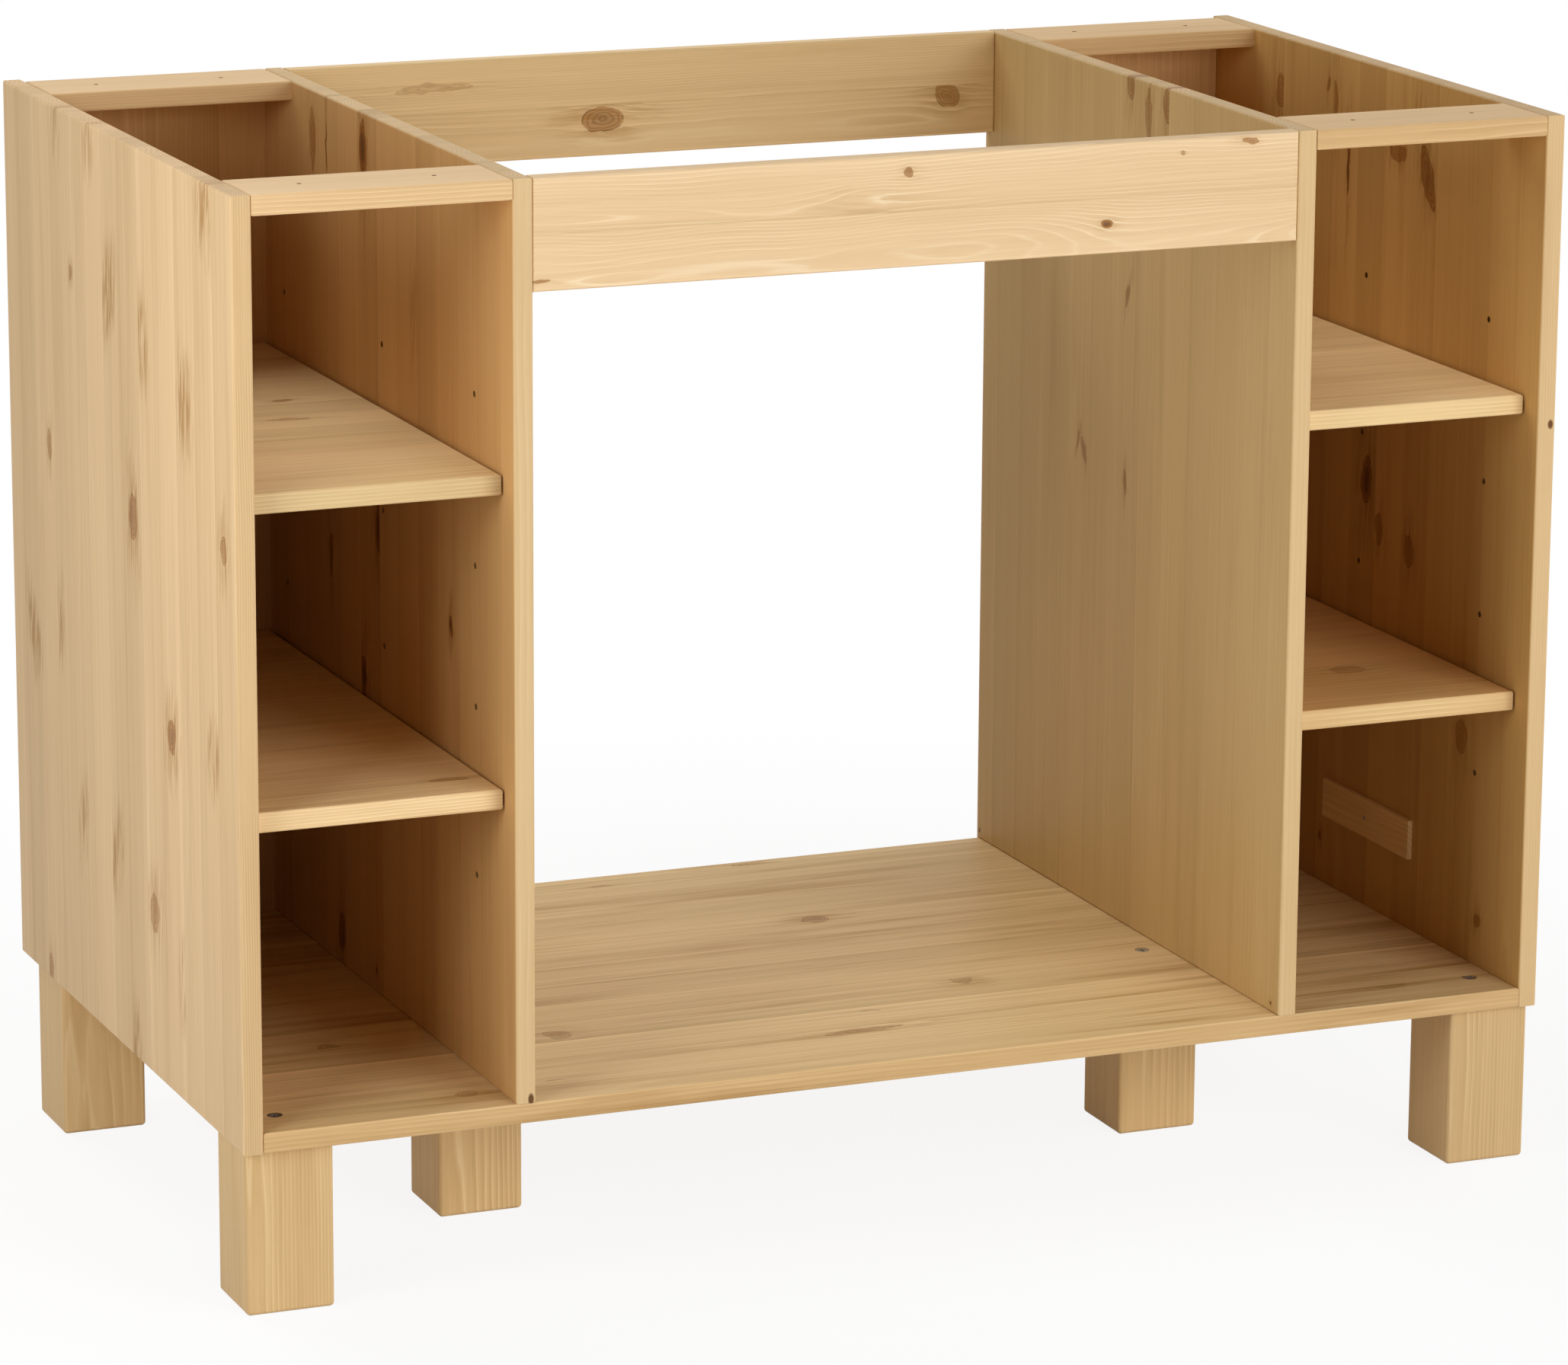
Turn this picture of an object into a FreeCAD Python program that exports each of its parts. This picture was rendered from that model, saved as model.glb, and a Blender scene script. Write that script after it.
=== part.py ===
import FreeCAD, Part
import os

# Driving dimensions in millimetres.
# X runs across the front, Y from the front to the back, Z up from the floor.
overall_width = 1100.0
overall_depth = 600.0
overall_height = 860.0
board = 16.0                  # thickness of the edge-glued boards
arris_radius = 2.0            # rounding of the boards' edges
side_bay_width = 202.0        # clear width of each shelf bay
back_recess = 10.0            # the side panels reach this far behind the other boards

# Legs
leg_height = 130.0
leg_section = 70.0
leg_arris_radius = 3.5
leg_side_inset = 3.5          # from the outer face of the side panel
leg_front_inset = 7.5
leg_back_inset = 34.5
middle_leg_setback = 178.0    # from the front edge to the middle legs

# Top rails and aprons
rail_depth = 72.0
rail_dowel_spacing = 36.0
apron_height = 86.0
apron_dowel_spacing = 42.0
worktop_hole_diameter = 4.0
worktop_hole_spacing = 105.0

# Thin back panels
back_thickness = 5.0
back_side_gap = 0.5           # to the side panel
back_edge_margin = 2.0        # inside the divider's face, the top and the underside

# Shelves
compartment_height = 227.5    # clear height of the two lower compartments
shelf_setback = 22.0          # front edge of a shelf behind the cabinet's front
shelf_end_gap = 2.0
shelf_back_gap = 3.0

# Shelf supports and their holes
support_diameter = 5.0
support_in_wall = 8.0
support_reach = 10.0          # from the wall into the bay
support_collar_diameter = 7.0
support_collar_thickness = 1.0
support_flat_height = 1.0     # the flat that carries the shelf, above the support's axis
support_row_pitch = 66.5
support_rows = (-1, 0, 1)     # spare rows below and above each shelf
support_front_inset = 86.0    # front column of holes, from the front edge
support_back_inset = 56.0     # back column of holes, from the back edge

# Dowels
dowel_diameter = 8.0
dowel_in_face = 10.0
dowel_in_end = 22.0
bottom_dowel_count = 4
bottom_dowel_margin = 100.0   # clear of the leg screws
divider_dowel_count = 4
divider_dowel_margin = 60.0

# Leg screws
screw_diameter = 6.0
screw_head_diameter = 12.0
screw_head_rim = 0.6
screw_head_cone = 3.0
screw_length = 65.0
screw_point = 6.0
screw_sink = 0.3              # the head lies this far below the bottom panel's face
recess_length = 6.5
recess_width = 1.3
recess_depth = 2.4

# Nails
nail_diameter = 1.6
nail_head_diameter = 3.6
nail_head_thickness = 0.7
nail_length = 16.0            # of the back panels' nails, under the head
strip_nail_length = 11.0
rail_nail_spacing = 100.0
divider_nail_count = 4
divider_nail_low_margin = 90.0
divider_nail_high_margin = 130.0

# Strip on the right side panel's inner face
strip_length = 156.0
strip_height = 33.0
strip_thickness = 4.0
strip_setback = 191.0
strip_rise = 60.0             # above the bottom panel

# Clearances
bore_clearance = 0.1          # round a dowel, support, screw or nail
bore_spare_depth = 1.0        # past the end of what goes in

# Places that follow from the driving dimensions
half_width = overall_width / 2
front = -overall_depth / 2
back = overall_depth / 2
inner_back = back - back_recess
bottom_top = leg_height + board
side_inner = half_width - board
divider_outer = side_inner - side_bay_width
divider_inner = divider_outer - board
divider_middle = (divider_outer + divider_inner) / 2
bay_middle = (side_inner + divider_outer) / 2
rail_bottom = overall_height - board
rail_middle_height = overall_height - board / 2
apron_bottom = overall_height - apron_height
apron_middle_height = overall_height - apron_height / 2
bottom_middle_height = leg_height + board / 2
lower_shelf_bottom = bottom_top + compartment_height
upper_shelf_bottom = lower_shelf_bottom + board + compartment_height
shelf_bottoms = {"lower": lower_shelf_bottom, "upper": upper_shelf_bottom}
sides = {"left": -1, "right": 1}
along_x = FreeCAD.Vector(1, 0, 0)
along_y = FreeCAD.Vector(0, 1, 0)
along_z = FreeCAD.Vector(0, 0, 1)
origin = FreeCAD.Vector(0, 0, 0)

pieces = {}
bores = {}


def block(xs, ys, zs):
    """A plain box between two values on each axis, given in either order."""
    low = FreeCAD.Vector(min(xs), min(ys), min(zs))
    return Part.makeBox(max(xs) - low.x, max(ys) - low.y, max(zs) - low.z, low)


def add_board(name, xs, ys, zs):
    """A board whose two faces have rounded edges all round; its four short corner edges stay square."""
    box = block(xs, ys, zs)
    corner_length = min(edge.Length for edge in box.Edges)
    rounded = [edge for edge in box.Edges if edge.Length > corner_length + arris_radius]
    pieces[name] = [box.makeFillet(arris_radius, rounded)]
    bores[name] = []


def add_sheet(name, xs, ys, zs):
    """A thin sheet with sawn, square edges."""
    pieces[name] = [block(xs, ys, zs)]
    bores[name] = []


def bore(name, start, direction, diameter, depth):
    """A round hole in a board, wide enough for what goes in."""
    bores[name].append(Part.makeCylinder(diameter / 2 + bore_clearance, depth, start, direction))


def spread(low, high, count):
    """Evenly spaced values from low to high."""
    step = (high - low) / (count - 1)
    return [low + step * index for index in range(count)]


def dowel_joint(group, face_board, end_board, point, into_end):
    """One dowel across a butt joint, with a blind bore in both boards."""
    start = point - into_end * dowel_in_face
    dowel = Part.makeCylinder(dowel_diameter / 2, dowel_in_face + dowel_in_end, start, into_end)
    pieces.setdefault(group, []).append(dowel)
    bore(face_board, point, -into_end, dowel_diameter, dowel_in_face + bore_spare_depth)
    bore(end_board, point, into_end, dowel_diameter, dowel_in_end + bore_spare_depth)


def turned(points):
    """A solid turned about Z from a profile of (radius, height) points."""
    corners = [FreeCAD.Vector(radius, 0, height) for radius, height in points]
    outline = Part.makePolygon(corners + corners[:1])
    return Part.Face(outline).revolve(origin, along_z, 360)


def leg_screw():
    """A countersunk screw with a cross recess, its head's top at height zero."""
    shank = screw_diameter / 2
    head = screw_head_diameter / 2
    cone_end = -screw_head_rim - screw_head_cone
    body = turned([
        (0, 0),
        (head, 0),
        (head, -screw_head_rim),
        (shank, cone_end),
        (shank, screw_point - screw_length),
        (0, -screw_length),
    ])
    half_length = recess_length / 2
    half_width_of_slot = recess_width / 2
    slot = block((-half_length, half_length), (-half_width_of_slot, half_width_of_slot), (-recess_depth, 0))
    cross_slot = slot.copy()
    cross_slot.rotate(origin, along_z, 90)
    return body.cut([slot, cross_slot])


def nail(length):
    """A flat-headed nail, its head's underside at height zero, pointing down."""
    head = Part.makeCylinder(nail_head_diameter / 2, nail_head_thickness)
    shank = Part.makeCylinder(nail_diameter / 2, length, origin, -along_z)
    return head.fuse(shank)


def shelf_support():
    """A support that points along +X, with the wall's face at zero and a flat for the shelf."""
    rod = Part.makeCylinder(support_diameter / 2, support_in_wall + support_reach,
                            -along_x * support_in_wall, along_x)
    above_flat = block((support_collar_thickness, support_reach),
                       (-support_diameter, support_diameter),
                       (support_flat_height, support_diameter))
    collar = Part.makeCylinder(support_collar_diameter / 2, support_collar_thickness, origin, along_x)
    return rod.cut(above_flat).fuse(collar).removeSplitter()


def placed(shape, point, axis=along_z, angle=0.0):
    """A copy of a shape, turned about an axis through the origin and then moved."""
    copy = shape.copy()
    copy.rotate(origin, axis, angle)
    copy.translate(point)
    return copy


def make_carcass():
    """Side panels, dividers, bottom panel and the dowels between them."""
    add_board("bottom_panel", (-side_inner, side_inner), (front, inner_back), (leg_height, bottom_top))
    for side, sign in sides.items():
        panel = side + "_side_panel"
        divider = side + "_divider"
        add_board(panel, (sign * side_inner, sign * half_width), (front, back),
                  (leg_height, overall_height))
        add_board(divider, (sign * divider_inner, sign * divider_outer), (front, inner_back),
                  (bottom_top, overall_height))
        for y in spread(front + bottom_dowel_margin, inner_back - bottom_dowel_margin, bottom_dowel_count):
            point = FreeCAD.Vector(sign * side_inner, y, bottom_middle_height)
            dowel_joint("bottom_dowels", panel, "bottom_panel", point, along_x * -sign)
        for y in spread(front + divider_dowel_margin, inner_back - divider_dowel_margin,
                        divider_dowel_count):
            point = FreeCAD.Vector(sign * divider_middle, y, bottom_top)
            dowel_joint("divider_dowels", "bottom_panel", divider, point, along_z)


def make_rails():
    """Flat rails across the top of each side bay, with holes for the worktop's screws."""
    rows = {"front": front + rail_depth / 2, "back": inner_back - rail_depth / 2}
    for side, sign in sides.items():
        for row, middle in rows.items():
            rail = side + "_" + row + "_rail"
            add_board(rail, (sign * divider_outer, sign * side_inner),
                      (middle - rail_depth / 2, middle + rail_depth / 2), (rail_bottom, overall_height))
            for offset in (-worktop_hole_spacing / 2, worktop_hole_spacing / 2):
                start = FreeCAD.Vector(sign * bay_middle + offset, middle, rail_bottom)
                bores[rail].append(Part.makeCylinder(worktop_hole_diameter / 2, board, start, along_z))
            for y in (middle - rail_dowel_spacing / 2, middle + rail_dowel_spacing / 2):
                outer = FreeCAD.Vector(sign * side_inner, y, rail_middle_height)
                inner = FreeCAD.Vector(sign * divider_outer, y, rail_middle_height)
                dowel_joint("rail_dowels", side + "_side_panel", rail, outer, along_x * -sign)
                dowel_joint("rail_dowels", side + "_divider", rail, inner, along_x * sign)


def make_aprons():
    """Upright boards between the dividers at the top, in front of and behind the hob."""
    rows = {"front_apron": front, "back_apron": inner_back - board}
    for apron, near in rows.items():
        add_board(apron, (-divider_inner, divider_inner), (near, near + board),
                  (apron_bottom, overall_height))
        for side, sign in sides.items():
            for offset in (-apron_dowel_spacing / 2, apron_dowel_spacing / 2):
                point = FreeCAD.Vector(sign * divider_inner, near + board / 2, apron_middle_height + offset)
                dowel_joint("apron_dowels", side + "_divider", apron, point, along_x * -sign)


def nail_into(group, sheet, carrier, point, axis, angle, direction, length):
    """A nail whose head lies on a sheet, through the sheet and into the board behind it."""
    pieces.setdefault(group, []).append(placed(nail(length), point, axis, angle))
    for name in (sheet, carrier):
        bore(name, point, direction, nail_diameter, length + bore_spare_depth)


def make_back_panels():
    """Thin sheets behind the side bays, nailed to the rail, the divider and the bottom panel."""
    face = inner_back + back_thickness
    for side, sign in sides.items():
        sheet = side + "_back_panel"
        add_sheet(sheet, (sign * (divider_inner + back_edge_margin), sign * (side_inner - back_side_gap)),
                  (inner_back, face), (leg_height + back_edge_margin, overall_height - back_edge_margin))
        spots = []
        for offset in (-rail_nail_spacing / 2, rail_nail_spacing / 2):
            x = sign * bay_middle + offset
            spots.append((side + "_back_rail", x, rail_middle_height))
            spots.append(("bottom_panel", x, bottom_middle_height))
        for z in spread(bottom_top + divider_nail_low_margin, overall_height - divider_nail_high_margin,
                        divider_nail_count):
            spots.append((side + "_divider", sign * divider_middle, z))
        for carrier, x, z in spots:
            point = FreeCAD.Vector(x, face, z)
            nail_into("back_panel_nails", sheet, carrier, point, along_x, -90, -along_y, nail_length)


def make_shelves():
    """Loose shelves on four supports each, with rows of spare holes in the bay's walls."""
    columns = (front + support_front_inset, (front + back) / 2, back - support_back_inset)
    support = shelf_support()
    for side, sign in sides.items():
        walls = {side + "_side_panel": (side_inner, -1), side + "_divider": (divider_outer, 1)}
        for level, underside in shelf_bottoms.items():
            shelf = side + "_" + level + "_shelf"
            add_board(shelf, (sign * (divider_outer + shelf_end_gap), sign * (side_inner - shelf_end_gap)),
                      (front + shelf_setback, inner_back - shelf_back_gap), (underside, underside + board))
            axis_height = underside - support_flat_height
            pieces[shelf + "_supports"] = []
            for wall, (distance, away) in walls.items():
                into_bay = along_x * (sign * away)
                for y in columns:
                    for row in support_rows:
                        point = FreeCAD.Vector(sign * distance, y, axis_height + row * support_row_pitch)
                        bore(wall, point, -into_bay, support_diameter, support_in_wall + bore_spare_depth)
                for y in (columns[0], columns[-1]):
                    point = FreeCAD.Vector(sign * distance, y, axis_height)
                    angle = 0.0 if into_bay.x > 0 else 180.0
                    pieces[shelf + "_supports"].append(placed(support, point, along_z, angle))


def make_legs():
    """Six square legs, each held by one screw through the bottom panel."""
    side_middle = half_width - leg_side_inset - leg_section / 2
    under_divider = divider_outer - leg_section / 2
    rows = {
        "front": (side_middle, front + leg_front_inset + leg_section / 2),
        "middle": (under_divider, front + middle_leg_setback + leg_section / 2),
        "back": (side_middle, back - leg_back_inset - leg_section / 2),
    }
    screw = leg_screw()
    head_top = bottom_top - screw_sink
    head_radius = screw_head_diameter / 2 + bore_clearance
    shank_radius = screw_diameter / 2 + bore_clearance
    cone_top = head_top - screw_head_rim
    screw_hole_end = head_top - screw_length - bore_spare_depth
    pieces["leg_screws"] = []
    for side, sign in sides.items():
        for row, (distance, y) in rows.items():
            leg = row + "_" + side + "_leg"
            x = sign * distance
            half = leg_section / 2
            box = block((x - half, x + half), (y - half, y + half), (0, leg_height))
            rounded = [edge for edge in box.Edges if edge.BoundBox.ZMin < leg_height / 2]
            pieces[leg] = [box.makeFillet(leg_arris_radius, rounded)]
            bores[leg] = []
            pieces["leg_screws"].append(placed(screw, FreeCAD.Vector(x, y, head_top)))
            hole_bottom = FreeCAD.Vector(x, y, screw_hole_end)
            hole = Part.makeCylinder(shank_radius, bottom_top - screw_hole_end, hole_bottom, along_z)
            bores[leg].append(hole)
            mouth = Part.makeCylinder(head_radius, screw_head_rim + screw_sink,
                                      FreeCAD.Vector(x, y, cone_top))
            cone = Part.makeCone(shank_radius, head_radius, screw_head_cone,
                                 FreeCAD.Vector(x, y, cone_top - screw_head_cone))
            bores["bottom_panel"].extend([hole, mouth, cone])


def make_strip():
    """A thin strip nailed low on the right side panel's inner face."""
    middle_y = front + strip_setback + strip_length / 2
    middle_z = bottom_top + strip_rise + strip_height / 2
    face = side_inner - strip_thickness
    add_sheet("side_strip", (face, side_inner),
              (middle_y - strip_length / 2, middle_y + strip_length / 2),
              (middle_z - strip_height / 2, middle_z + strip_height / 2))
    point = FreeCAD.Vector(face, middle_y, middle_z)
    nail_into("side_strip_nail", "side_strip", "right_side_panel", point, along_y, -90, along_x,
              strip_nail_length)


def save(name):
    """Cut a piece's holes and write it, a group of like fasteners as separate solids in one file."""
    solids = pieces[name]
    if bores.get(name):
        solids = [solid.cut(bores[name]) for solid in solids]
    shape = solids[0] if len(solids) == 1 else Part.makeCompound(solids)
    if not shape.isValid():
        raise ValueError("The shape of " + name + " is not valid.")
    shape.exportStep("parts/" + name + ".step")
    print(name, len(shape.Solids), round(shape.Volume))


os.makedirs("parts", exist_ok=True)
make_carcass()
make_rails()
make_aprons()
make_back_panels()
make_shelves()
make_legs()
make_strip()
for piece_name in pieces:
    save(piece_name)
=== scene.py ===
import bpy
import math
import numpy as np
from mathutils import Matrix, Vector


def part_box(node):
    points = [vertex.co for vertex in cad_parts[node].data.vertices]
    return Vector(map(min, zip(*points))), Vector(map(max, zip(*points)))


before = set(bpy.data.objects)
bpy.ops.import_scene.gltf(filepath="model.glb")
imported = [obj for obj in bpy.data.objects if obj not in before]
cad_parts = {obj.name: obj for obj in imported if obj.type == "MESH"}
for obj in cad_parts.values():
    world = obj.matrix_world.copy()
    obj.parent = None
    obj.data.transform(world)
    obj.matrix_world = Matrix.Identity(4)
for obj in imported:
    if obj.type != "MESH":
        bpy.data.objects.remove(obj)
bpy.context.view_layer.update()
print("frame loaded:", len(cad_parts), "nodes")

toMillimetres = 1000.0  # the scene is in metres, the patterns on the boards in millimetres


# One socket of a material. Arithmetic on it adds Math nodes.
class Value:
    def __init__(self, paint, socket):
        self.paint = paint
        self.socket = socket

    def math(self, operation, *terms):
        return self.paint.math(operation, self, *terms)

    def __add__(self, other):
        return self.math("ADD", other)

    def __sub__(self, other):
        return self.math("SUBTRACT", other)

    def __rsub__(self, other):
        return self.paint.math("SUBTRACT", other, self)

    def __mul__(self, other):
        return self.math("MULTIPLY", other)

    def __truediv__(self, other):
        return self.math("DIVIDE", other)

    def __rtruediv__(self, other):
        return self.paint.math("DIVIDE", other, self)

    def __pow__(self, other):
        return self.math("POWER", other)

    def __rpow__(self, other):
        return self.paint.math("POWER", other, self)

    __radd__ = __add__
    __rmul__ = __mul__

    # soft ramp from low to high, reaching first and last there
    def ramp(self, low, high, first=0.0, last=1.0, shape="SMOOTHSTEP"):
        made = self.paint.node("MapRange", {"interpolation_type": shape},
                               {0: self, 1: low, 2: high, 3: first, 4: last})
        return Value(self.paint, made.outputs[0])


# The node tree of a material or of the world.
class Paint:
    def __init__(self, owner):
        owner.use_nodes = True
        self.owner = owner
        self.tree = owner.node_tree

    def feed(self, socket, value):
        if isinstance(value, Value):
            value = value.socket
        if isinstance(value, bpy.types.NodeSocket):
            self.tree.links.new(value, socket)
        else:
            socket.default_value = value

    def node(self, kind, settings=None, inputs=None):
        made = self.tree.nodes.new("ShaderNode" + kind)
        for key, value in (settings or {}).items():
            setattr(made, key, value)
        for key, value in (inputs or {}).items():
            self.feed(made.inputs[key], value)
        return made

    def math(self, operation, *terms):
        made = self.node("Math", {"operation": operation}, dict(enumerate(terms)))
        return Value(self, made.outputs[0])

    def vector(self, operation, *terms):
        made = self.node("VectorMath", {"operation": operation}, dict(enumerate(terms)))
        return made.outputs[0]

    def dot(self, first, second):
        made = self.node("VectorMath", {"operation": "DOT_PRODUCT"}, {0: first, 1: second})
        return Value(self, made.outputs["Value"])

    def scaled(self, vector, factor):
        return self.node("VectorMath", {"operation": "SCALE"}, {0: vector, "Scale": factor}).outputs[0]

    def point(self, x, y, z):
        return self.node("CombineXYZ", {}, {0: x, 1: y, 2: z}).outputs[0]

    def split(self, vector):
        return [Value(self, part) for part in self.node("SeparateXYZ", {}, {0: vector}).outputs]

    def mix(self, factor, first, second, blend="MIX"):
        made = self.node("Mix", {"data_type": "RGBA", "blend_type": blend},
                         {0: factor, 6: first, 7: second})
        return made.outputs[2]

    # smooth noise, 0 to 1, of a vector socket
    def noise(self, place, scale=1.0, detail=2.0, rough=0.5):
        made = self.node("TexNoise", {}, {"Vector": place, "Scale": scale, "Detail": detail,
                                          "Roughness": rough})
        return Value(self, made.outputs["Fac"])

    # 1 for a ray from the camera, a mirror or clear glass, else 0
    def seenDirectly(self):
        rays = self.node("LightPath").outputs
        seen = Value(self, rays["Is Camera Ray"])
        for name in ("Is Glossy Ray", "Is Transmission Ray"):
            seen = seen.math("MAXIMUM", Value(self, rays[name]))
        return seen

    # the shader's own sockets, by name
    def finish(self, **sockets):
        shader = self.tree.nodes["Principled BSDF"]
        for name, value in sockets.items():
            self.feed(shader.inputs[name.replace("_", " ")], value)
        return self.owner


def dress(nodeName, material):
    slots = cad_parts[nodeName].data.materials
    slots.clear()
    slots.append(material)


# colours of the lacquered pine, linear
pineColours = {
    "early": (0.800, 0.568, 0.318, 1),
    "late": (0.610, 0.390, 0.180, 1),
    "pale": (0.930, 0.740, 0.480, 1),
    "flame": (0.455, 0.240, 0.072, 1),
    "heart": (0.430, 0.192, 0.046, 1),
    "pith": (0.170, 0.074, 0.026, 1),
    "rim": (0.150, 0.062, 0.020, 1),
    "coolTint": (0.992, 0.995, 0.972, 1),
    "warmTint": (1.002, 0.987, 0.942, 1),
}

# how strongly each feature of the pine shows
pineLook = {
    "lateShare": 0.20,
    "paleShare": 0.42,
    "streakShare": 0.20,
    "flameShare": 0.60,
    "smudgeShare": 0.30,
    "cloudShare": 0.08,
    "fibreShare": 0.09,
    "staveShare": 0.11,
    "leanShare": 0.14,
    "seamShare": 0.12,
    "edgeShare": 0.05,
    "heartShare": 1.00,
    "endShare": 0.20,
    "boreGrainAndShadeShare": 0.60,
}

# Noise along the grain: repeats per millimetre across, along and through the board, how far each stave and
# each board moves on through the noise, and its detail.
pineGrain = {
    "slow": {"repeats": (0.010, 0.0024, 0.010), "stave": 5.7, "board": 1.0, "detail": 2, "rough": 0.5},
    "bold": {"repeats": (0.031, 0.00744, 0.031), "stave": 17.67, "board": 3.1, "detail": 1, "rough": 0.5},
    "ripple": {"repeats": (0.11, 0.009, 0.11), "stave": 2.3, "board": 0.0, "detail": 1, "rough": 0.5},
    "streak": {"repeats": (0.21, 0.0024, 0.16), "stave": 3.1, "board": 0.0, "detail": 4, "rough": 0.72},
    "smudge": {"repeats": (0.050, 0.0026, 0.03), "stave": 4.3, "board": 1.9, "detail": 3, "rough": 0.58},
    "fibre": {"repeats": (1.1, 0.022, 1.1), "stave": 0.0, "board": 0.0, "detail": 2, "rough": 0.6},
}
barbGrain = {"across": 0.24, "slant": 0.016, "along": 0.020, "stave": 1.7, "board": 3.7,
             "detail": 3, "rough": 0.6}
seedStep = {"stave": 7.31, "outline": 31.0}  # how far one seed's random values lie from the next one's

# Rings: width, wander and the heart's depths are in millimetres, heartSpread is in widths of a stave and
# ripple in rings; widthSpread is a share of the width and wanderDeep a share of the wander.
pineRings = {"width": 1.9, "widthSpread": 1.15, "wander": 12.0, "wanderDeep": 0.7, "heartSpread": 1.7,
             "heartDepth": 60.0, "heartLeast": 9.0, "ripple": 0.7}
ringBoost = {"edge": 0.5, "flame": 1.2, "stave": 1.4}  # bolder on long edges, near knots, in a bold stave

# Knots: apart keeps a knot out of the next stave, and sway bends the knots' outlines, both in millimetres.
# Flames and the rings' push fade with the square of the way from the knot's middle, in its half sizes.
pineKnots = {"apart": 60.0, "sway": (9, 14, 0), "swayRepeats": 0.05, "reach": 1.3, "flameFadeAcross": 0.26,
             "flameFadeAlong": 0.12, "pushFade": 0.28, "push": 0.6, "turns": 3.6, "turnsRipple": 0.6,
             "rimShare": 0.95, "turnShare": 0.45}

# millimetres in from a board's edges: an edge knot fades out, and a steep face further in is a bore
edgeKnotFade = (2, 6)
boreMargin = 3

# darker wood is warmer, so a tone takes more from green and blue than from red
pineSurface = {"greenPower": 1.25, "bluePower": 1.75, "roughness": 0.46, "fibreRoughness": 0.12,
               "gloss": 0.15, "bump": 0.12, "bumpDepth": 0.0006}


# Pine glued up from staves. Each stave is cut from its own imagined log: rings are circles about a heart
# line beside the stave, pushed outwards round each knot. A board's axes name the object's axes that run
# across its staves, along its grain and through it, and its places are in millimetres on them. A knot is
# (across, along, half width, half length, darkness, slant); a darkness below zero leaves only its flames.
class PineBoard:
    def __init__(self, name, board):
        self.paint = paint = Paint(bpy.data.materials.new(name))
        self.board = board
        self.look = {**pineLook, **board.get("look", {})}
        order = ["XYZ".index(axis) for axis in board["axes"]]
        spot = paint.node("TexCoord").outputs
        place = paint.split(paint.scaled(spot["Object"], toMillimetres))
        normal = paint.split(spot["Normal"])
        self.across, self.along, self.deep = [place[k] for k in order]
        self.normal = [normal[k] for k in order]
        self.low, self.high = [[corner[k] * toMillimetres for k in order] for corner in board["box"]]
        self.thick = self.deep - (self.low[2] + self.high[2]) / 2
        self.cutStaves()
        self.placeKnots()
        self.slow = self.grain("slow") - 0.5
        self.streak = self.grain("streak") - 0.5
        self.fibre = self.grain("fibre")
        self.late, self.pale = self.rings()

    # each stave's number, the place in it from its middle, and its own random values
    def cutStaves(self):
        self.pitch = self.board["staveWidth"]
        stave = (self.across - self.board["firstEdge"]) / self.pitch
        self.index = stave.math("FLOOR")
        self.inStave = (stave - self.index - 0.5) * self.pitch
        self.fromSeam = self.pitch / 2 - self.inStave.math("ABSOLUTE")
        self.seam = self.fromSeam.ramp(0.1, 0.55, 1.0, 0.0)
        dice = self.paint.node("TexWhiteNoise", {"noise_dimensions": "1D"},
                               {"W": self.index + self.board["seed"] * seedStep["stave"]})
        self.diceSide, self.diceDepth, self.diceWidth = self.paint.split(dice.outputs["Color"])
        self.diceTone = Value(self.paint, dice.outputs["Value"])

    # How near a place is to a knot's middle, how much of the knot's colour it takes, the dark flames along
    # the grain, and how far the rings are pushed aside.
    def placeKnots(self):
        paint, board = self.paint, self.board
        apart = pineKnots["apart"]
        swayPlace = paint.point(self.across, self.along, board["seed"] * seedStep["outline"])
        swayPlace = paint.scaled(swayPlace, pineKnots["swayRepeats"])
        clouds = paint.node("TexNoise", {}, {"Vector": swayPlace, "Scale": 1.0, "Detail": 2.0})
        sway = paint.vector("SUBTRACT", clouds.outputs["Color"], (0.5, 0.5, 0.5))
        sway = paint.vector("MULTIPLY", sway, pineKnots["sway"])
        place = paint.vector("ADD", paint.point(self.across, self.along, self.index * apart), sway)
        near = paint.math("ADD", 0.0, 0.0)
        body = flame = push = near
        for knot in board.get("knots", []):
            knotAcross, knotAlong, halfWidth, halfLength, darkness, slant = (*knot, 0.0)[:6]
            knotStave = math.floor((knotAcross - board["firstEdge"]) / board["staveWidth"])
            offset = paint.vector("SUBTRACT", place, (knotAcross, knotAlong, knotStave * apart))
            side = paint.dot(offset, (1 / halfWidth, -slant / halfWidth, 0))
            reach = paint.dot(offset, (0, 1 / halfLength, 1))
            sideSquare = side * side
            reachSquare = reach * reach
            squares = sideSquare + reachSquare
            own = squares.ramp(0.0, pineKnots["reach"], 1.0, 0.0, "LINEAR")
            near = near.math("MAXIMUM", own)
            body = body.math("MAXIMUM", own.ramp(0.03, 0.25, 0.0, max(darkness, 0.0)))
            fade = sideSquare * pineKnots["flameFadeAcross"] + reachSquare * pineKnots["flameFadeAlong"]
            flame = flame + (1 / math.e) ** fade * abs(darkness)
            pushed = side * (1 / math.e) ** (squares * pineKnots["pushFade"])
            push = push + pushed * (pineKnots["push"] * halfWidth)
        self.near, self.body, self.flame, self.push = near, body, flame, push

    def grain(self, pattern):
        settings = pineGrain[pattern]
        acrossRepeats, alongRepeats, deepRepeats = settings["repeats"]
        place = self.paint.point(self.across * acrossRepeats + self.index * settings["stave"],
                                 self.along * alongRepeats + self.board["seed"] * settings["board"],
                                 self.thick * deepRepeats)
        return self.paint.noise(place, 1.0, settings["detail"], settings["rough"])

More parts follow.
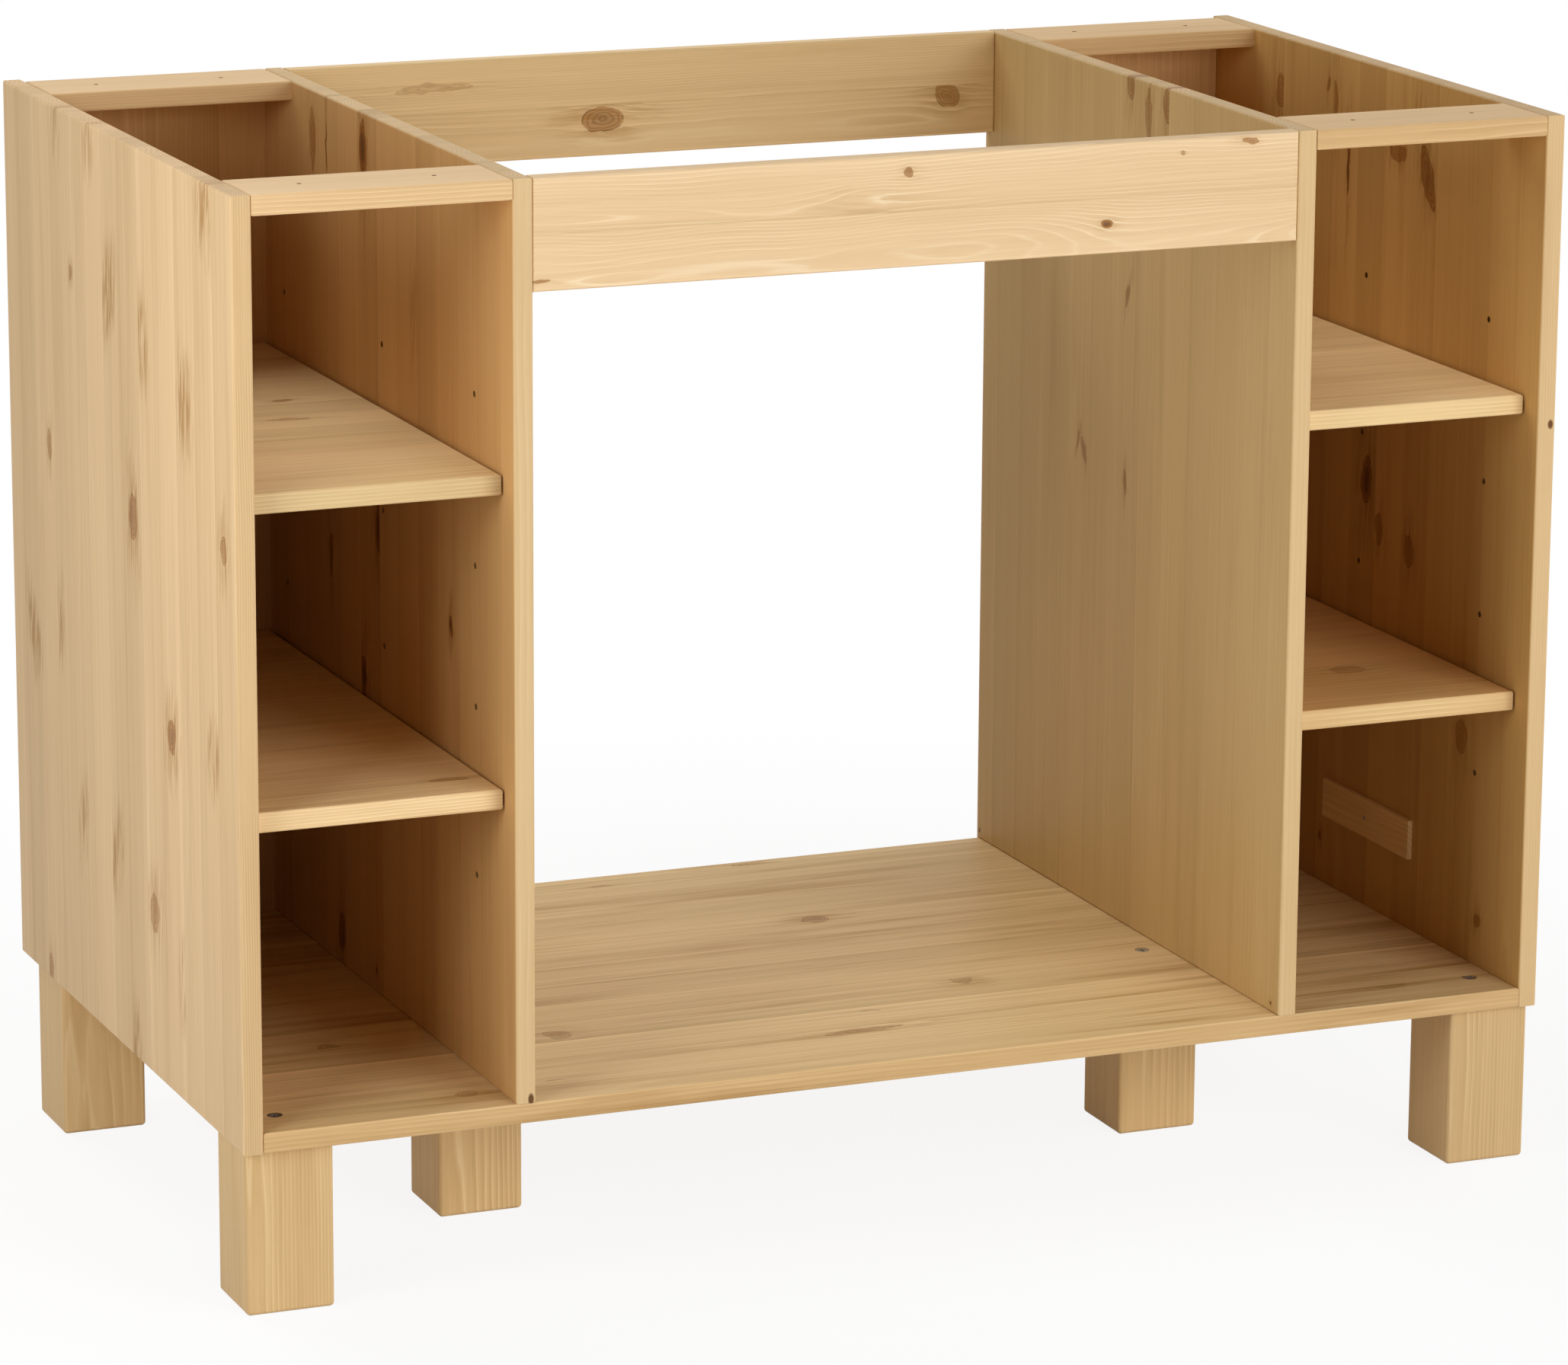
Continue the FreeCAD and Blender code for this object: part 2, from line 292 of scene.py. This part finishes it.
    # 1 on the faces that look along one of the board's axes: 0 across, 1 along, 2 through
    def facing(self, axis):
        return self.normal[axis].math("ABSOLUTE").ramp(0.6, 0.95)

    # late wood at the end of each ring and pale wood at its start; the heart line wanders along the grain
    def rings(self):
        rings = {**pineRings, **self.board.get("rings", {})}
        drift = self.slow * rings["wander"]
        heart = (self.diceSide - 0.5) * (rings["heartSpread"] * self.pitch)
        sideways = self.inStave - heart + drift - self.push
        below = self.thick + self.diceDepth * rings["heartDepth"] + rings["heartLeast"]
        below = below + drift * rings["wanderDeep"]
        radius = (sideways * sideways + below * below).math("SQRT")
        width = (self.diceWidth * rings["widthSpread"] + 1.0) * rings["width"]
        ring = (radius / width + self.grain("ripple") * rings["ripple"]).math("FRACT")
        late = ring.ramp(0.30, 0.86) * ring.ramp(0.90, 0.99, 1.0, 0.0)
        pale = ring.ramp(0.0, 0.05) * ring.ramp(0.08, 0.27, 1.0, 0.0)
        return late, pale

    # rings, bolder in places, on the long edges and near knots, and smudges along the grain
    def plainWood(self):
        paint, look = self.paint, self.look
        strength = self.grain("bold").ramp(0.30, 0.70, 0.25, 1.0)
        strength = strength * (self.facing(0) * ringBoost["edge"] + 1) + self.flame * ringBoost["flame"]
        if "boldStave" in self.board:
            isBold = self.index.math("COMPARE", self.board["boldStave"], 0.5)
            strength = strength * (isBold * ringBoost["stave"] + 1)
        lateShare = self.late * strength * look["lateShare"]
        wood = paint.mix(lateShare, pineColours["early"], pineColours["late"])
        wood = paint.mix(self.pale * strength * look["paleShare"], wood, pineColours["pale"])
        smudge = self.grain("smudge").ramp(0.48, 0.86)
        return paint.mix(smudge * (self.streak + 0.9) * look["smudgeShare"], wood, pineColours["flame"])

    # flames break into barbs; a knot has a dark pith, rings of its own and a thin broken rim
    def withKnots(self, wood):
        paint, look, near, body = self.paint, self.look, self.near, self.body
        barbAcross = self.across * barbGrain["across"] + self.along * barbGrain["slant"]
        barbPlace = paint.point(barbAcross + self.index * barbGrain["stave"],
                                self.along * barbGrain["along"], self.board["seed"] * barbGrain["board"])
        barb = paint.noise(barbPlace, 1.0, barbGrain["detail"], barbGrain["rough"])
        feather = self.flame * barb.ramp(0.40, 0.62, 0.20, 1.0)
        feather = feather.ramp(0.08, 0.75, 0.0, look["flameShare"], "LINEAR")
        wood = paint.mix(feather, wood, pineColours["flame"])
        pith = near.ramp(0.45, 0.95) * body.ramp(0.75, 1.3, 0.08, 1.0)
        heart = paint.mix(pith, pineColours["heart"], pineColours["pith"])
        wood = paint.mix(body * (barb * 0.5 + 0.55) * look["heartShare"], wood, heart)
        rim = near.ramp(0.04, 0.14) * near.ramp(0.16, 0.32, 1.0, 0.0) * barb.ramp(0.36, 0.56)
        turns = (1 - near).math("SQRT") * pineKnots["turns"] + barb * pineKnots["turnsRipple"]
        inner = turns.math("FRACT").ramp(0.45, 0.95) * near.ramp(0.12, 0.30)
        dark = (rim * pineKnots["rimShare"] + inner * pineKnots["turnShare"]) * body
        return paint.mix(dark, wood, pineColours["rim"])

    # small dark knots on the front edge: (through, along, half width, half length)
    def withEdgeKnots(self, wood):
        paint = self.paint
        fadeFrom, fadeTo = [self.low[0] + depth for depth in edgeKnotFade]
        for knotDeep, knotAlong, halfWidth, halfLength in self.board.get("edgeKnots", []):
            place = paint.point(self.deep, self.along, 0)
            offset = paint.vector("SUBTRACT", place, (knotDeep, knotAlong, 0))
            offset = paint.vector("MULTIPLY", offset, (1 / halfWidth, 1 / halfLength, 0))
            spread = paint.dot(offset, offset).ramp(0.3, 1.4, 1.0, 0.0)
            spread = spread * self.across.ramp(fadeFrom, fadeTo, 1, 0)
            wood = paint.mix(spread, wood, pineColours["pith"])
        return wood

    # cool and warm staves, the board's own tint, and painted shade on a face: 1 or -1 along the axis
    # through it
    def tintedAndShaded(self, wood):
        paint = self.paint
        tint = paint.mix(self.diceSide, pineColours["coolTint"], pineColours["warmTint"])
        wood = paint.mix(1.0, wood, tint, "MULTIPLY")
        # the board's tint: partly the wood's own colour, partly painted light and shade, set board by board
        # for how brightly each board is lit
        wood = paint.mix(1.0, wood, (*self.board["tint"], 1), "MULTIPLY")
        # painted shade on one face of the board, darker and deeper in colour
        for side, faceShade in self.board.get("paintedFaceShades", {}).items():
            facing = (self.normal[2] * side).ramp(0.6, 0.95)
            wood = paint.mix(facing, wood, paint.mix(1.0, wood, (*faceShade, 1), "MULTIPLY"))
        return wood

    # light and dark staves, glue seams with a pale line beside them, darker end grain, and bore walls
    # darkened, partly as drilled end grain and partly as painted shade in the holes
    def tone(self):
        look = self.look
        lean = self.inStave * (2 / self.pitch)
        beside = self.fromSeam.ramp(0.7, 1.3) * self.fromSeam.ramp(1.8, 2.6, 1.0, 0.0)
        paleEdge = beside * self.diceDepth.ramp(0.3, 0.8)
        tone = self.streak * look["streakShare"] + self.slow * look["cloudShare"]
        tone = tone + (self.diceTone - 0.5) * look["staveShare"]
        tone = tone + lean * lean * lean * (self.diceWidth - 0.5) * look["leanShare"]
        tone = tone + paleEdge * look["edgeShare"] - self.seam * look["seamShare"]
        tone = tone + self.fibre * look["fibreShare"] + 1
        tone = tone * (1 - self.facing(1) * (self.late * 0.4 + 0.4) * look["endShare"])
        drilled = 1 - self.normal[2].math("ABSOLUTE").ramp(0.5, 0.8)
        for place, first, last in zip((self.across, self.along), self.low, self.high):
            drilled = drilled * place.ramp(first + boreMargin, first + boreMargin + 1)
            drilled = drilled * place.ramp(last - boreMargin - 1, last - boreMargin, 1, 0)
        return tone * (1 - drilled * look["boreGrainAndShadeShare"])

    def finish(self):
        wood = self.withEdgeKnots(self.withKnots(self.plainWood()))
        tone = self.tone()
        warmth = self.paint.point(tone, tone ** pineSurface["greenPower"], tone ** pineSurface["bluePower"])
        wood = self.paint.vector("MULTIPLY", self.tintedAndShaded(wood), warmth)
        bump = self.paint.node("Bump", {}, {"Strength": pineSurface["bump"],
                                            "Distance": pineSurface["bumpDepth"],
                                            "Height": self.fibre - self.seam})
        roughness = self.fibre * pineSurface["fibreRoughness"] + pineSurface["roughness"]
        return self.paint.finish(Base_Color=wood, Roughness=roughness, Normal=bump.outputs[0],
                                 Specular_IOR_Level=pineSurface["gloss"])


def dressBoard(nodeName, board):
    dress(nodeName, PineBoard(nodeName + "Pine", {"box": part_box(nodeName), **board}).finish())


# painted shade: the bays' and the niche's walls are coloured darker and deeper than the outer faces,
# standing in for the shade inside them
bayPaintedShade = (0.835, 0.705, 0.535)
nichePaintedShade = (0.86, 0.84, 0.72)

# each board's tint below is partly the wood's own colour and partly painted light and shade
leftSidePanel = {
    "axes": "YZX", "staveWidth": 47.1, "firstEdge": -300.0, "seed": 3, "tint": (0.96, 0.935, 0.90),
    "paintedFaceShades": {1: bayPaintedShade}, "boldStave": 0,
    "look": {"streakShare": 0.24, "lateShare": 0.14, "paleShare": 0.18, "flameShare": 0.85},
    "knots": [
        (-42, 570, 9, 18, 0.95), (-272, 591, 7, 11, 0.80), (-134, 416, 10, 12, 1.00),
        (-238, 425, 9, 10, -1.00), (-82, 264, 11, 14, 0.65), (-70, 714, 10, 13, -1.10),
        (-178, 684, 10, 14, -1.00), (-236, 842, 11, 12, -1.00), (240, 417, 9, 14, -1.00, 0.3),
        (20, 283, 9, 14, -1.00, -0.2), (110, 290, 7, 13, -0.80, -0.2), (14, 735, 9, 14, -1.10, -0.2),
        (116, 734, 4, 5, 0.70), (185, 584, 5, 11, 0.60), (151, 850, 6, 12, -0.70),
        (64, 849, 8, 12, -0.70), (213, 140, 8, 10, 0.65), (-156, 225, 8, 14, -0.70),
        (165, 440, 7, 13, -0.80), (-25, 135, 8, 14, -1.00),
    ],
}
dressBoard("left_side_panel", leftSidePanel)

# the right side panel's darker tint and its inner face's painted shade stand in for the shade in the right
# bay
rightSidePanel = {
    "axes": "YZX", "staveWidth": 46.6, "firstEdge": -306.0, "seed": 8, "tint": (0.88, 0.84, 0.76),
    "paintedFaceShades": {-1: (0.82, 0.70, 0.45)},
    "look": {"streakShare": 0.11, "lateShare": 0.14, "paleShare": 0.14, "staveShare": 0.16},
    "knots": [
        (38, 768, 2, 24, 1.20), (-104, 779, 9, 24, 0.95, 0.35), (-51, 793, 13, 7, 0.85),
        (-11, 511, 9, 20, 1.15), (-89, 465, 8, 12, 0.80), (-35, 473, 7, 12, 0.70),
        (76, 833, 3, 6, 0.80), (66, 819, 7, 16, 0.70), (165, 814, 9, 14, 0.70),
        (-226, 183, 5, 6, 0.80), (59, 184, 3, 5, 0.90), (180, 400, 11, 15, 0.80),
        (-190, 330, 9, 14, 0.60),
    ],
    "edgeKnots": [(545.5, 612, 2.5, 4.0)],
}
dressBoard("right_side_panel", rightSidePanel)

# the dividers' tints are partly painted shade, and each face takes the painted shade of its bay or niche
leftDivider = {
    "axes": "YZX", "staveWidth": 46.8, "firstEdge": -318.0, "seed": 14, "tint": (0.88, 0.87, 0.81),
    "paintedFaceShades": {-1: bayPaintedShade, 1: nichePaintedShade},
    "look": {"streakShare": 0.11, "lateShare": 0.14, "paleShare": 0.14},
    "knots": [
        (42, 832, 8, 22, 1.25), (132, 819, 1.5, 20, 1.20), (167, 820, 7, 24, 0.60),
        (10, 533, 8, 20, 1.20), (130, 486, 4, 18, 0.95), (-158, 491, 4, 9, 1.20),
        (52, 403, 8, 16, 1.25), (113, 173, 8, 16, 1.00), (26, 165, 2, 3.5, 1.10),
        (-77, 731, 6, 30, -0.50),
    ],
    "edgeKnots": [(-320, 149, 2.5, 5.0)],
}
dressBoard("left_divider", leftDivider)

rightDivider = {
    "axes": "YZX", "staveWidth": 46.8, "firstEdge": -302.0, "seed": 21, "tint": (0.88, 0.86, 0.78),
    "paintedFaceShades": {-1: nichePaintedShade, 1: bayPaintedShade},
    "look": {"streakShare": 0.14, "lateShare": 0.10, "paleShare": 0.16, "staveShare": 0.06},
    "knots": [
        (4, 853, 6, 12, 0.70), (-66, 848, 8, 16, 0.80), (-30, 832, 6, 22, 0.70),
        (3, 679, 3, 9, 0.75, -0.3), (83, 533, 3.5, 10, 0.70, 0.4), (3, 522, 2.5, 9, 0.70),
        (96, 540, 2, 7, 0.60, -0.5), (-285, 153, 1.5, 1.5, 1.30), (286, 154, 1.5, 1.5, 1.30),
    ],
}
dressBoard("right_divider", rightDivider)

# the bottom panel's top face is darker than its underside as painted shade, and its lighter tint is partly
# painted light
bottomPanel = {
    "axes": "YXZ", "staveWidth": 48.0, "firstEdge": -300.0, "seed": 27, "tint": (1.12, 1.10, 1.05),
    "paintedFaceShades": {1: (0.85, 0.86, 0.81)},
    "look": {"lateShare": 0.24, "paleShare": 0.20, "smudgeShare": 1.20, "leanShare": 0.38,
             "streakShare": 0.40, "staveShare": 0.15, "heartShare": 0.50},
    "knots": [
        (98, 81, 9, 12, 1.05), (-110, 123, 14, 9, 0.85), (-215, -7, 5, 32, 0.90, 0.06),
        (-138, -239, 12, 9, 0.75), (276, 105, 6, 26, 0.75, -0.15), (258, -48, 2.5, 9, 0.70),
        (-167, 18, 2, 9, 0.75), (-260, -359, 6, 9, 0.85), (-255, 440, 6, 12, 0.60),
        (120, -450, 9, 13, 0.75),
    ],
}
dressBoard("bottom_panel", bottomPanel)

# the apron's lighter, cooler tint is partly painted light, lifting it to the brightness of the lit front
frontApron = {
    "axes": "ZXY", "staveWidth": 43.0, "firstEdge": 774.0, "seed": 33, "tint": (1.10, 1.10, 1.15),
    "rings": {"wander": 40.0, "width": 1.5, "heartSpread": 0.6},
    "look": {"lateShare": 0.14, "paleShare": 0.60, "flameShare": 0.30, "seamShare": 0.05,
             "smudgeShare": 0.15},
    "knots": [
        (846, -13, 3.2, 4.0, 0.95), (798, 152, 3.6, 4.6, 1.20), (823, -52, 8, 16, -0.60),
        (782, -309, 1.4, 6, 0.90), (855, 275, 1.8, 6, 0.90), (849, 216, 1.6, 2.4, 0.70),
    ],
}
dressBoard("front_apron", frontApron)

backApron = {
    "axes": "ZXY", "staveWidth": 43.0, "firstEdge": 774.0, "seed": 41, "tint": (1.05, 1.05, 0.98),
    "look": {"flameShare": 0.50},
    "knots": [(804, -41, 10, 17, 0.95), (807, 271, 9, 11, 0.80), (838, -190, 4, 30, 0.35)],
}
dressBoard("back_apron", backApron)

shelfPine = {"axes": "YXZ", "staveWidth": 46.0, "firstEdge": -285.0, "tint": (0.95, 0.97, 0.89),
             "look": {"smudgeShare": 0.5}}
# the shelves' tints are partly painted light, set shelf by shelf for brightness; the right lower shelf's
# top face takes painted shade
shelves = {
    "left_upper_shelf": {"seed": 47, "knots": [(49, -399, 4, 7, 0.80), (-22, -417, 4, 16, 0.60, -0.1)]},
    "left_lower_shelf": {"seed": 53, "tint": (1.14, 1.14, 1.08),
                         "knots": [(-235, -362, 5, 14, 0.55), (80, -470, 7, 10, 0.70)]},
    "right_upper_shelf": {"seed": 59, "tint": (1.13, 1.14, 1.05),
                          "knots": [(-160, 380, 3, 8, 0.30), (120, 460, 8, 11, 0.75)]},
    "right_lower_shelf": {"seed": 66, "tint": (1.06, 1.02, 0.90), "paintedFaceShades": {1: (1.01, 0.90, 0.74)},
                          "knots": [(-163, 441, 12, 14, 0.40), (40, 390, 5, 8, 0.60)]},
}
for nodeName, shelf in shelves.items():
    dressBoard(nodeName, {**shelfPine, **shelf})

# the right rails' darker tint is painted shade
railPine = {"axes": "YXZ", "staveWidth": 72.0, "tint": (1.00, 0.96, 0.91)}
rails = {
    "left_front_rail": {"firstEdge": -300.0, "seed": 71},
    "right_front_rail": {"firstEdge": -300.0, "seed": 76, "tint": (0.94, 0.88, 0.78)},
    "left_back_rail": {"firstEdge": 218.0, "seed": 82},
    "right_back_rail": {"firstEdge": 218.0, "seed": 88, "tint": (0.94, 0.88, 0.78)},
}
for nodeName, rail in rails.items():
    dressBoard(nodeName, {**railPine, **rail})

# the back panels' darker, deeper tint is painted shade
backPanelPine = {"axes": "XZY", "staveWidth": 54.0, "firstEdge": -534.0, "tint": (0.86, 0.74, 0.57)}
backPanels = {
    "left_back_panel": {"seed": 95, "knots": [(-380, 700, 8, 14, 0.8), (-470, 330, 10, 16, 0.8)]},
    "right_back_panel": {"seed": 101, "knots": [(420, 560, 9, 15, 0.8), (350, 250, 7, 12, 0.8)]},
}
for nodeName, panel in backPanels.items():
    dressBoard(nodeName, {**backPanelPine, **panel})

# a leg is one stave, a little wider than the leg so that no seam shows
legPine = {"axes": "YZX", "staveWidth": 71.0, "tint": (0.90, 0.86, 0.75),
           "look": {"streakShare": 0.28, "lateShare": 0.24}}
# the legs' tints are painted light and shade: the front right leg darker, the middle legs lighter
legs = {
    "front_left_leg": {"seed": 110},
    "front_right_leg": {"seed": 117, "tint": (0.82, 0.77, 0.66)},
    "middle_left_leg": {"seed": 123, "tint": (1.02, 1.00, 0.90)},
    "middle_right_leg": {"seed": 131, "tint": (1.02, 1.00, 0.90)},
    "back_left_leg": {"seed": 138},
    "back_right_leg": {"seed": 144},
}
seamOutside = 0.5
for nodeName, leg in legs.items():
    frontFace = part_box(nodeName)[0].y * toMillimetres
    dressBoard(nodeName, {**legPine, "firstEdge": frontFace - seamOutside, **leg})

strip = {"axes": "ZYX", "staveWidth": 60.0, "firstEdge": 190.0, "seed": 150, "tint": (1.04, 1.01, 0.90)}
dressBoard("side_strip", strip)

dowelPine = {"axes": "YXZ", "staveWidth": 30.0, "firstEdge": -300.0, "seed": 160, "tint": (1.0, 0.95, 0.88)}
for nodeName in ("bottom_dowels", "divider_dowels", "rail_dowels", "apron_dowels"):
    dressBoard(nodeName, dowelPine)
print("pine dressed")

# zinc plated steel: fine brushed scratches and cloudy dull patches, in repeats per metre
zincPlate = {"bright": (0.62, 0.61, 0.58, 1), "dull": (0.36, 0.35, 0.33, 1), "clouds": 350.0,
             "scratches": (300, 2600, 2600), "roughness": 0.25, "cloudRoughness": 0.25,
             "bump": 0.15, "bumpDepth": 0.0002}


def zincFinish():
    paint = Paint(bpy.data.materials.new("zincPlate"))
    spot = paint.node("TexCoord").outputs["Object"]
    cloud = paint.noise(spot, zincPlate["clouds"], 3.0, 0.6)
    brushed = paint.node("Mapping", {}, {"Vector": spot, "Scale": zincPlate["scratches"]}).outputs[0]
    colour = paint.mix(cloud.ramp(0.35, 0.7), zincPlate["bright"], zincPlate["dull"])
    bump = paint.node("Bump", {}, {"Strength": zincPlate["bump"], "Distance": zincPlate["bumpDepth"],
                                   "Height": paint.noise(brushed)})
    roughness = cloud * zincPlate["cloudRoughness"] + zincPlate["roughness"]
    return paint.finish(Base_Color=colour, Metallic=1.0, Roughness=roughness, Normal=bump.outputs[0])


zinc = zincFinish()
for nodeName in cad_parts:
    if nodeName.endswith(("_screws", "_nails", "_nail", "_supports")):
        dress(nodeName, zinc)
print("steel dressed")

# floor: a flat square grid, grey where it throws light back on the object and nearly white when seen
floorLook = {"reach": 9.0, "cells": 12, "bounce": (0.70, 0.70, 0.70, 1), "seen": (0.96, 0.96, 0.96, 1),
             "nearShare": 0.88, "nearReach": 0.7, "whiteReach": 1.5, "specks": 40.0, "roughness": 0.7,
             "speckRoughness": 0.1}


def makeFloor():
    cells = floorLook["cells"]
    row = cells + 1
    side = np.linspace(-floorLook["reach"], floorLook["reach"], row)
    gridX, gridY = np.meshgrid(side, side)
    points = np.stack([gridX.ravel(), gridY.ravel(), np.zeros(gridX.size)], axis=1)
    corner = (np.arange(cells)[:, None] * row + np.arange(cells)[None, :]).ravel()
    faces = np.stack([corner, corner + 1, corner + row + 1, corner + row], axis=1)
    mesh = bpy.data.meshes.new("floor")
    mesh.from_pydata(points.tolist(), [], faces.tolist())
    floor = bpy.data.objects.new("floor", mesh)
    bpy.context.scene.collection.objects.link(floor)
    paint = Paint(bpy.data.materials.new("paleFloor"))
    spot = paint.node("TexCoord").outputs["Object"]
    speck = paint.noise(spot, floorLook["specks"], 3.0)
    away = Value(paint, paint.node("VectorMath", {"operation": "LENGTH"}, {0: spot}).outputs["Value"])
    whiteShare = away.ramp(floorLook["nearReach"], floorLook["whiteReach"], floorLook["nearShare"], 1.0)
    seen = paint.seenDirectly()
    colour = paint.mix(seen, floorLook["bounce"], floorLook["seen"])
    roughness = speck * floorLook["speckRoughness"] + floorLook["roughness"]
    mesh.materials.append(paint.finish(Base_Color=colour, Roughness=roughness))
    glow = paint.node("Emission", {}, {"Color": (1, 1, 1, 1), "Strength": 1.0})
    blend = paint.node("MixShader", {}, {0: seen * whiteShare,
                                         1: paint.tree.nodes["Principled BSDF"].outputs[0],
                                         2: glow.outputs[0]})
    paint.feed(paint.tree.nodes["Material Output"].inputs["Surface"], blend.outputs[0])


makeFloor()
print("floor laid")

# light: three large soft lamps, low in front, at the left and high behind, and a sky bright on the right
studioLamps = {
    "frontLamp": {"place": (1.05, -2.95, 1.10), "size": 1.6, "power": 43.5},
    "leftLamp": {"place": (-1.58, -0.74, 1.00), "size": 1.0, "power": 13.3},
    "backLamp": {"place": (-0.70, 1.50, 3.20), "size": 2.0, "power": 44.0},
}
lampAim = (0.0, 0.0, 0.5)
skyLook = {"rest": 0.02, "right": 1.15}


def addLamp(name, lamp):
    data = bpy.data.lights.new(name, "AREA")
    data.shape = "SQUARE"
    data.size = lamp["size"]
    data.energy = lamp["power"]
    made = bpy.data.objects.new(name, data)
    made.location = lamp["place"]
    made.visible_camera = False
    towards = Vector(lampAim) - Vector(lamp["place"])
    made.rotation_euler = towards.to_track_quat("-Z", "Y").to_euler()
    bpy.context.scene.collection.objects.link(made)


def addSky():
    world = bpy.data.worlds.new("studio")
    bpy.context.scene.world = world
    paint = Paint(world)
    heading = paint.split(paint.node("TexCoord").outputs["Generated"])
    level = heading[0].ramp(0, 1, skyLook["rest"], skyLook["right"], "LINEAR")
    seen = paint.seenDirectly()
    sky = paint.tree.nodes["Background"]
    paint.feed(sky.inputs["Color"], (1, 1, 1, 1))
    paint.feed(sky.inputs["Strength"], level * (1 - seen) + seen)


for lampName, lamp in studioLamps.items():
    addLamp(lampName, lamp)
addSky()
print("light set")

# camera: angles in degrees, yaw to the right and pitch down; lens and frame width in millimetres
view = {"place": (-1.989, -4.834, 1.659), "yaw": 22.478, "pitch": 13.748, "roll": 0.331, "lens": 151.79,
        "frameWidth": 36.0}


def addCamera():
    yaw, pitch, roll = [math.radians(view[angle]) for angle in ("yaw", "pitch", "roll")]
    ahead = Vector((math.sin(yaw) * math.cos(pitch), math.cos(yaw) * math.cos(pitch), -math.sin(pitch)))
    right = Vector((math.cos(yaw), -math.sin(yaw), 0))
    up = right.cross(ahead)
    rolledRight = right * math.cos(roll) + up * math.sin(roll)
    rolledUp = up * math.cos(roll) - right * math.sin(roll)
    data = bpy.data.cameras.new("photoView")
    data.sensor_fit = "HORIZONTAL"
    data.sensor_width = view["frameWidth"]
    data.lens = view["lens"]
    camera = bpy.data.objects.new("photoView", data)
    turn = Matrix((rolledRight, rolledUp, -ahead)).transposed()
    camera.matrix_world = Matrix.Translation(view["place"]) @ turn.to_4x4()
    bpy.context.scene.collection.objects.link(camera)
    bpy.context.scene.camera = camera


addCamera()
bpy.context.scene.view_settings.view_transform = "Standard"

print("scene ready")
